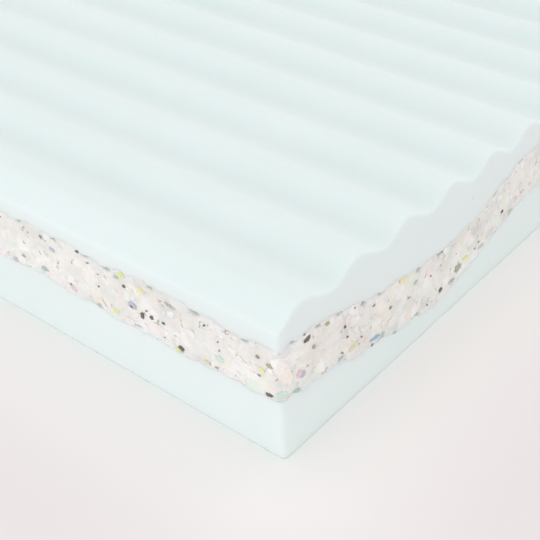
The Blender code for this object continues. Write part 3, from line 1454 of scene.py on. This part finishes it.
def core_block(profile, mix):
    """The crumb layer as a closed block, its walls cut fine enough to carry the crumbs' relief."""
    shape = profile.shape
    thickness = shape.core_thickness + 2 * shape.seam_bite
    mesh = footprint_box(profile, thickness, shape.core_corner, 0)
    cut_walls(mesh, profile)
    slice_across(mesh, steps_between(0, thickness, CORE_ROW), "Z")
    settle_heights(mesh, profile, thickness, 0, profile.core_bite_below, profile.core_bite_above)
    rim = mesh.verts.layers.float.new("rim")
    for vertex in mesh.verts:
        x, y, z = vertex.co
        vertex[rim] = max(0.0, min(z - profile.lower_seam(x, y), profile.upper_seam(x, y) - z))
    knife_wander(mesh, profile)
    mesh.verts.index_update()
    sink_hollows(mesh, profile, all_hollows(profile, mix))
    return mesh


def crumb_shapes(rng):
    """Angular chips about 1 m across and 0.4 m thick, each the hull of three rings of points."""
    shapes = []
    for index in range(CHIP_SHAPES):
        mesh = bmesh.new()
        for corner in range(CHIP_CORNERS):
            turn = 2 * math.pi * (corner + rng.uniform(-CORNER_DRIFT, CORNER_DRIFT)) / CHIP_CORNERS
            reach = rng.uniform(*CORNER_REACH)
            for height, share in CHIP_RINGS:
                across = reach * share
                mesh.verts.new((math.cos(turn) * across, math.sin(turn) * across, height))
        hull = bmesh.ops.convex_hull(mesh, input=mesh.verts[:])
        buried = [item for item in hull["geom_interior"] if isinstance(item, bmesh.types.BMVert)]
        bmesh.ops.delete(mesh, geom=buried, context="VERTS")
        bmesh.ops.recalc_face_normals(mesh, faces=mesh.faces[:])
        data = bpy.data.meshes.new(f"crumb_shape_{index}")
        mesh.to_mesh(data)
        mesh.free()
        shapes.append(data)
    return shapes


class CrumbLayer:
    """Chips that are laid one by one in the core's sawn face, in one mesh for each wall."""

    def __init__(self, profile, core, wall, number):
        self.profile = profile
        self.wall = wall
        self.surface = BVHTree.FromPolygons(
            [vertex.co for vertex in core.vertices], [face.vertices for face in core.polygons]
        )
        self.rng = random.Random(SEED + number)
        self.shapes = crumb_shapes(self.rng)
        self.mesh = bmesh.new()
        self.colour = self.mesh.faces.layers.float_color.new("offcut")

    def anywhere(self):
        """A random place in the crumb layer's part of the wall."""
        run = self.profile.run(self.wall)
        along = self.rng.uniform(CHIP_CORNER_GAP, run - CHIP_CORNER_GAP)
        low, high = self.profile.core_heights(self.wall, along)
        return along, self.rng.uniform(low + CHIP_SEAM_GAP, high - CHIP_SEAM_GAP)

    def crest_under(self, place, outward, aside, above):
        """How far out the sawn crumb reaches where a chip will lie."""
        steps = 1 if max(aside.length, above.length) < WIDE_SEAT else SEAT_STEPS
        shares = [step / steps for step in range(-steps, steps + 1)]
        crest = DEEPEST_SEAT
        for aside_share in shares:
            for above_share in shares:
                start = place + aside * aside_share + above * above_share + outward * RAY_START
                found = self.surface.ray_cast(start, -outward, RAY_LENGTH)[0]
                if found:
                    crest = max(crest, (found - place).dot(outward))
        return crest

    def lay(self, along, height, size, proud, colour):
        """Lays a chip flat in the wall, its outer face a little proud of the sawn crumb there."""
        place, outward, level = self.profile.on_wall(self.wall, along, height)
        length, width, depth = size
        above = outward.cross(level)
        felt = (level * SEAT_SHARE * length, above * SEAT_SHARE * width)
        crest = self.crest_under(place, outward, *felt)
        face_height = CHIP_RINGS[0][0]
        centre = place + outward * (crest + proud - face_height * depth)
        first = len(self.mesh.verts)
        self.mesh.from_mesh(self.rng.choice(self.shapes))
        self.mesh.verts.ensure_lookup_table()
        own = self.mesh.verts[first:]
        turn = self.rng.uniform(-CHIP_TURN, CHIP_TURN)
        lengthwise = level * math.cos(turn) + above * math.sin(turn)
        crosswise = outward.cross(lengthwise)
        stretch = Matrix((lengthwise * length, crosswise * width, outward * depth)).transposed()
        spin = Matrix.Rotation(self.rng.uniform(0, 2 * math.pi), 3, "Z")
        for vertex in own:
            vertex.co = stretch @ (spin @ vertex.co) + centre
        for face in {face for vertex in own for face in vertex.link_faces}:
            face[self.colour] = opaque(linear(colour))

    def lay_seen(self):
        """The flecks that the photograph shows."""
        for home, along, height, length, width, colour in SEEN_FLECKS:
            if home == self.wall:
                leant = self.profile.lean * height if home == "near" else 0
                size = (length * SEEN_SHARE / 1000, width * SEEN_SHARE / 1000, SEEN_DEPTH)
                place = ((along + leant) / 1000, height / 1000)
                proud = SEEN_PROUD if length > SMALL_UP_TO else SMALL_PROUD
                self.lay(*place, size, proud, OFFCUT_COLOURS[colour])

    def lay_flecks(self, count):
        """Coloured chips, past the stretch that the photograph shows."""
        hues = [name for name in OFFCUT_COLOURS if name not in ("black", "soot", "brown")]
        for _ in range(count):
            place = self.anywhere()
            colour = OFFCUT_COLOURS[self.rng.choice(hues)]
            length = self.rng.uniform(*FLECK_LENGTHS)
            width = self.rng.uniform(*FLECK_WIDTHS)
            if place[0] > SHOWN[self.wall]:
                self.lay(*place, (length, width, FLECK_DEPTH), RANDOM_PROUD, colour)

    def lay_specks(self, count):
        """Small dark chips; in the stretch that the photograph shows, only a few tiny ones."""
        for _ in range(count):
            place = self.anywhere()
            colour = OFFCUT_COLOURS[self.rng.choice(SPECK_COLOURS)]
            width = self.rng.uniform(*SPECK_WIDTHS)
            length = width * self.rng.uniform(*SPECK_STRETCH)
            if place[0] > SHOWN[self.wall]:
                self.lay(*place, (length, width, SPECK_DEPTH), RANDOM_PROUD, colour)
            elif self.rng.random() < SHOWN_SPECKS:
                size = (SHOWN_SPECK_LENGTH * length, SHOWN_SPECK_WIDTH * width, SPECK_DEPTH)
                self.lay(*place, size, RANDOM_PROUD, colour)

    def lay_pale(self, count):
        """Pale chips that stand out of the sawn face."""
        for _ in range(count):
            place = self.anywhere()
            width = self.rng.uniform(*PALE_WIDTHS)
            length = width * self.rng.uniform(*PALE_STRETCH)
            proud = self.rng.uniform(*PALE_PROUD)
            tint = self.rng.choice(PALE_TINTS)
            self.lay(*place, (length, width, PALE_DEPTH), proud, tint)

    def finish(self, context, material):
        """Makes the wall's piece."""
        for shape in self.shapes:
            bpy.data.meshes.remove(shape)
        return finished_piece(context, f"flecks_{self.wall}", self.mesh, material)


class MATTRESS_OT_base_foam(Operator):
    """Lay the base slab of mint foam"""

    bl_idname = "mattress.base_foam"
    bl_label = "Base slab"

    def execute(self, context):
        profile = Profile(context.scene.mattress_shape)
        mesh = mint_slab(profile, BASE_BLOCK, profile.underside, profile.lower_seam, 0)
        knife_wander(mesh, profile)
        material = mint_foam_material(context.scene.mattress_colours)
        piece = finished_piece(context, "base_foam", mesh, material, "base_slab")
        return {"FINISHED"}


class MATTRESS_OT_core_foam(Operator):
    """Lay the core of bonded foam crumb, its cut walls rough with crumbs"""

    bl_idname = "mattress.core_foam"
    bl_label = "Crumb core"

    def execute(self, context):
        profile = Profile(context.scene.mattress_shape)
        mix = context.scene.mattress_crumb
        material = crumb_foam_material(context.scene.mattress_colours, mix)
        mesh = core_block(profile, mix)
        piece = finished_piece(context, "core_foam", mesh, material, "core_slab")
        relief = piece.modifiers.new("crumb_relief", "NODES")
        relief.node_group = crumb_relief(mix)
        context.view_layer.update()
        ready = piece.evaluated_get(context.evaluated_depsgraph_get())
        plain = piece.data
        piece.data = bpy.data.meshes.new_from_object(ready)
        piece.modifiers.clear()
        bpy.data.meshes.remove(plain)
        piece.data.name = "core_foam"
        return {"FINISHED"}


class MATTRESS_OT_top_foam(Operator):
    """Lay the ridged top slab of mint foam"""

    bl_idname = "mattress.top_foam"
    bl_label = "Top slab"

    def execute(self, context):
        profile = Profile(context.scene.mattress_shape)
        faces = (profile.upper_seam, profile.ridged_face)
        mesh = mint_slab(profile, TOP_BLOCK, *faces, profile.shape.mint_rim, RIDGE_ROW)
        knife_wander(mesh, profile)
        material = mint_foam_material(context.scene.mattress_colours)
        piece = finished_piece(context, "top_foam", mesh, material, "top_slab")
        return {"FINISHED"}


class MATTRESS_OT_flecks(Operator):
    """Lay coloured chips, dark specks and proud pale chips in the core's walls"""

    bl_idname = "mattress.flecks"
    bl_label = "Flecks and specks"

    def execute(self, context):
        profile = Profile(context.scene.mattress_shape)
        mix = context.scene.mattress_crumb
        core = bpy.data.objects["core_foam"].data
        material = offcut_material()
        for number, wall in enumerate(WALLS):
            run = profile.run(wall)
            layer = CrumbLayer(profile, core, wall, number)
            layer.lay_pale(round(run * mix.loose_per_metre))
            layer.lay_flecks(round(run * mix.flecks_per_metre))
            layer.lay_specks(round(run * mix.specks_per_metre))
            layer.lay_seen()
            layer.finish(context, material)
        return {"FINISHED"}


def camera_turn():
    """The camera's turn as a matrix, from its yaw, pitch and roll."""
    forward = Vector(
        (
            math.cos(CAMERA_YAW) * math.cos(CAMERA_PITCH),
            math.sin(CAMERA_YAW) * math.cos(CAMERA_PITCH),
            -math.sin(CAMERA_PITCH),
        )
    )
    right = forward.cross(Vector((0, 0, 1))).normalized()
    down = forward.cross(right)
    rolled_right = right * math.cos(CAMERA_ROLL) + down * math.sin(CAMERA_ROLL)
    rolled_down = down * math.cos(CAMERA_ROLL) - right * math.sin(CAMERA_ROLL)
    return Matrix((rolled_right, -rolled_down, -forward)).transposed()


def lit_from(context, lamp, place, target, colour):
    """Hangs a lamp at a place and turns it to a target."""
    lamp.color = linear(colour)
    light = bpy.data.objects.new(lamp.name, lamp)
    light.location = place
    light.rotation_euler = (Vector(target) - Vector(place)).to_track_quat("-Z", "Y").to_euler()
    light.visible_camera = False
    context.collection.objects.link(light)


def back_light(context, lights):
    """A broad light from past the foot end, which lets the far slopes of the ridges shine."""
    lamp = bpy.data.lights.new("back_light", "SUN")
    lamp.energy = lights.back
    lamp.angle = lights.back_softness
    direction = Vector((math.cos(lights.back_height), 0, math.sin(lights.back_height)))
    lit_from(context, lamp, direction * BACK_DISTANCE, (0, 0, 0), BACK_TINT)


def bounce_card(context, lights, corner):
    """A low pale card before the head end, which lights the cut wall."""
    lamp = bpy.data.lights.new("bounce_card", "AREA")
    lamp.shape = "RECTANGLE"
    lamp.size = CARD_WIDTH
    lamp.size_y = CARD_HEIGHT
    lamp.energy = lights.card
    place = corner + Vector((-lights.card_distance, CARD_ASIDE, CARD_ABOVE))
    target = corner + Vector((0, CARD_ASIDE, CARD_FACES))
    lit_from(context, lamp, place, target, CARD_TINT)


def studio_floor(context, corner):
    """The pale floor under and all round the mattress."""
    mesh = bmesh.new()
    bmesh.ops.create_grid(mesh, x_segments=4, y_segments=4, size=FLOOR_REACH)
    data = bpy.data.meshes.new("studio_floor")
    mesh.to_mesh(data)
    mesh.free()
    middle = ((corner.x + HIGH.x) / 2, 0, 0)
    half = ((HIGH.x - corner.x) / 2, HIGH.y, 1.0)
    data.materials.append(floor_material(context.scene.mattress_colours, middle, half))
    floor = bpy.data.objects.new("studio_floor", data)
    context.collection.objects.link(floor)


def studio_sky(scene, strength):
    """Even light from all round."""
    world = bpy.data.worlds.new("studio_world")
    world.use_nodes = True
    sky = world.node_tree.nodes["Background"]
    sky.inputs["Color"].default_value = opaque(linear(SKY_TINT))
    sky.inputs["Strength"].default_value = strength
    scene.world = world
    scene.view_settings.view_transform = "Standard"


def photo_camera(context, corner):
    """The photographer's camera, above the corner that the photograph shows."""
    lens = bpy.data.cameras.new("photo_camera")
    lens.lens = CAMERA_LENS
    lens.sensor_width = SENSOR_WIDTH
    lens.clip_start = CAMERA_NEAREST
    lens.clip_end = CAMERA_FURTHEST
    camera = bpy.data.objects.new("photo_camera", lens)
    camera.matrix_world = Matrix.Translation(corner + CAMERA_FROM_CORNER) @ camera_turn().to_4x4()
    context.collection.objects.link(camera)
    context.scene.camera = camera


class MATTRESS_OT_stage(Operator):
    """Set the pale floor, the soft light and the photographer's camera"""

    bl_idname = "mattress.stage"
    bl_label = "Stage"

    def execute(self, context):
        lights = context.scene.mattress_light
        overhang = context.scene.mattress_shape.head_overhang
        corner = Vector((LOW.x + overhang, LOW.y, LOW.z))
        studio_floor(context, corner)
        back_light(context, lights)
        bounce_card(context, lights, corner)
        studio_sky(context.scene, lights.sky)
        photo_camera(context, corner)
        return {"FINISHED"}


class MATTRESS_PT_sidebar(Panel):
    """Everything that makes up the mattress, in the order it is made"""

    bl_label = "Mattress"
    bl_idname = "MATTRESS_PT_sidebar"
    bl_space_type = "VIEW_3D"
    bl_region_type = "UI"
    bl_category = "Mattress"

    def draw(self, context):
        layout = self.layout
        for operator in STEPS:
            layout.operator(operator.bl_idname)
        for group in SETTINGS:
            box = layout.box()
            settings = getattr(context.scene, group)
            for name in settings.bl_rna.properties.keys():
                if name not in ("rna_type", "name"):
                    box.prop(settings, name)


SETTINGS = {
    "mattress_shape": MattressShape,
    "mattress_crumb": CrumbMix,
    "mattress_colours": FoamColours,
    "mattress_light": StudioLight,
}
STEPS = (
    MATTRESS_OT_base_foam,
    MATTRESS_OT_core_foam,
    MATTRESS_OT_top_foam,
    MATTRESS_OT_flecks,
    MATTRESS_OT_stage,
)


def register():
    for cls in (*SETTINGS.values(), *STEPS, MATTRESS_PT_sidebar):
        bpy.utils.register_class(cls)
    for name, group in SETTINGS.items():
        setattr(bpy.types.Scene, name, PointerProperty(type=group))


def unregister():
    for name in SETTINGS:
        delattr(bpy.types.Scene, name)
    for cls in reversed((*SETTINGS.values(), *STEPS, MATTRESS_PT_sidebar)):
        bpy.utils.unregister_class(cls)


def main():
    """Makes every piece in order."""
    register()
    bpy.ops.mattress.base_foam()
    bpy.ops.mattress.core_foam()
    bpy.ops.mattress.top_foam()
    bpy.ops.mattress.flecks()
    bpy.ops.mattress.stage()


if __name__ == "__main__":
    main()
